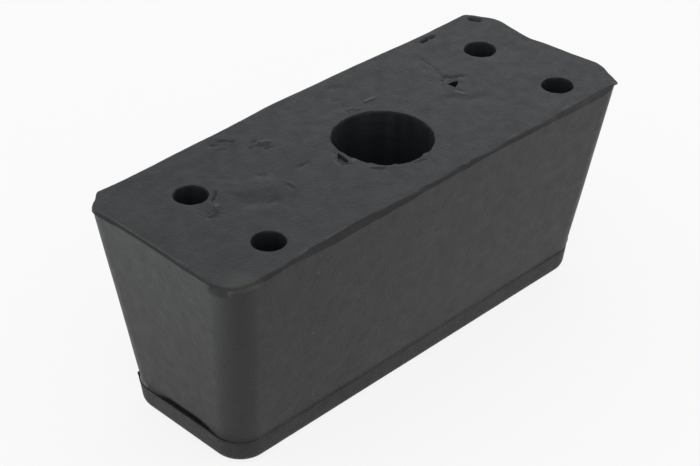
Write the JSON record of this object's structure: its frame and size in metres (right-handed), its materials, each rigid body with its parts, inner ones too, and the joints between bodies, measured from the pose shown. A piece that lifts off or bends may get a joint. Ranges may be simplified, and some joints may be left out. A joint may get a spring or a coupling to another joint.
{
  "type": "loading dock bumper",
  "caption": "Tapered black rubber bumper block with blind bolt holes and a large relief hole in its wide mounting face, and a shallow band round its narrow face.",
  "frame": {"origin": "middle of the moulded outline, on the narrow face that the block stands on", "axes": "+X along the block's length, +Y across it, +Z from the narrow face up to the wide mounting face"},
  "size_m": [0.22, 0.0862, 0.092],
  "materials": {
    "rubber": "satin black moulded rubber"
  },
  "bodies": {
    "root": {"bumper_block": "rubber"}
  },
  "joints": []
}
